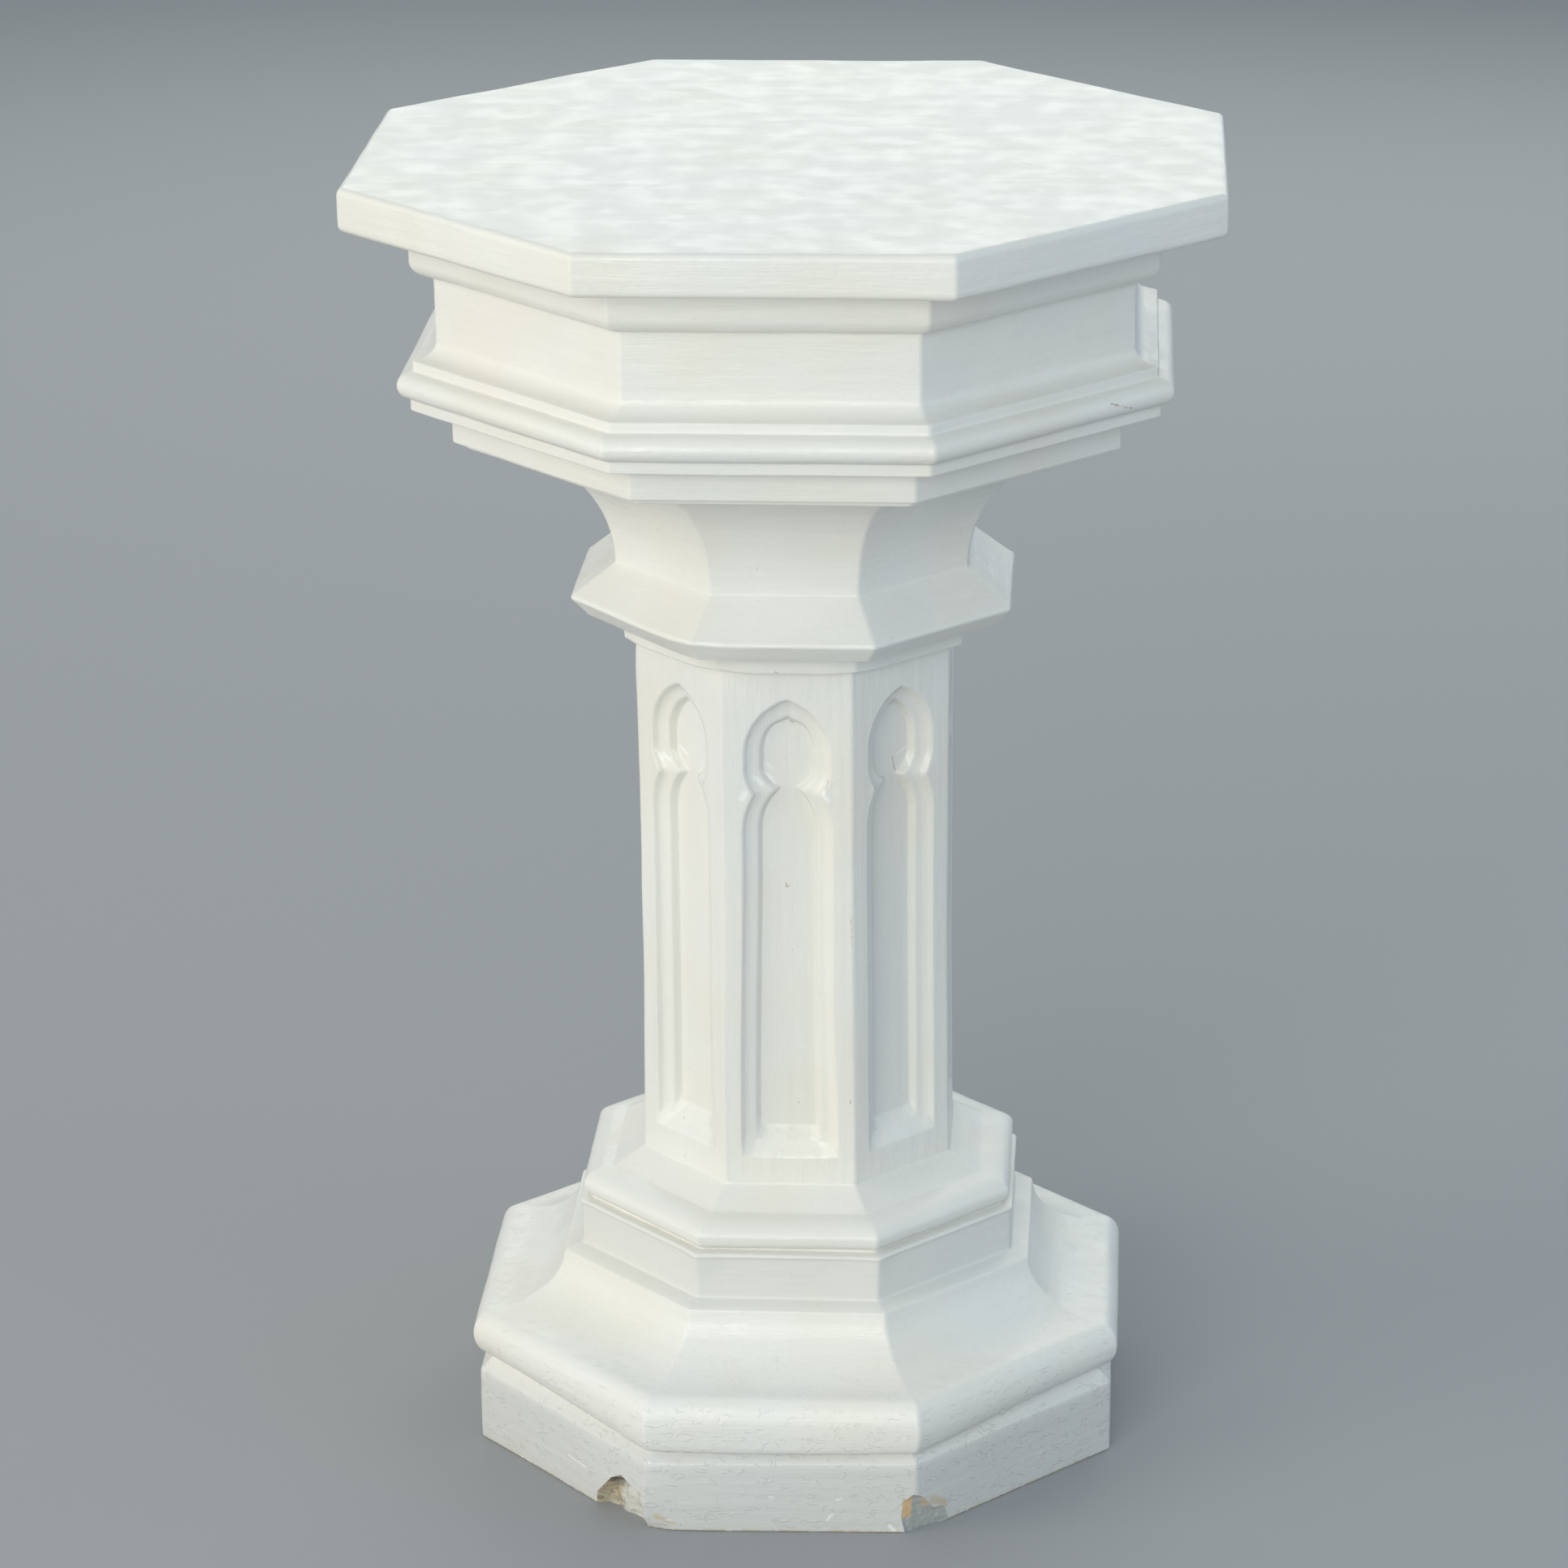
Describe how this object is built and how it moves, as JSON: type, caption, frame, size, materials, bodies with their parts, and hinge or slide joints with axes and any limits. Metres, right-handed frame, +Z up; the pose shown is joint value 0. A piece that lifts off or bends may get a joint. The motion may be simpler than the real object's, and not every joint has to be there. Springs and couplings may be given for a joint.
{
  "type": "pedestal column",
  "caption": "Octagonal Gothic pedestal column cast in one piece: stepped moulded base, shaft with sunk lancet panels, flared bell and a wide flat slab on top to carry a bust, urn or plant.",
  "frame": {"origin": "centre of the underside, on the surface that the pedestal stands on", "axes": "+Z up along the column's axis; the flats of the octagon face +X, -X, +Y and -Y, and the front face, with the break in the foot at its left, faces -Y"},
  "size_m": [0.494, 0.494, 0.78],
  "materials": {
    "painted_body": "thick off-white gloss paint over buff terracotta, chipped and crazed at the foot"
  },
  "bodies": {
    "root": {"pedestal_column": "painted_body"}
  },
  "joints": []
}
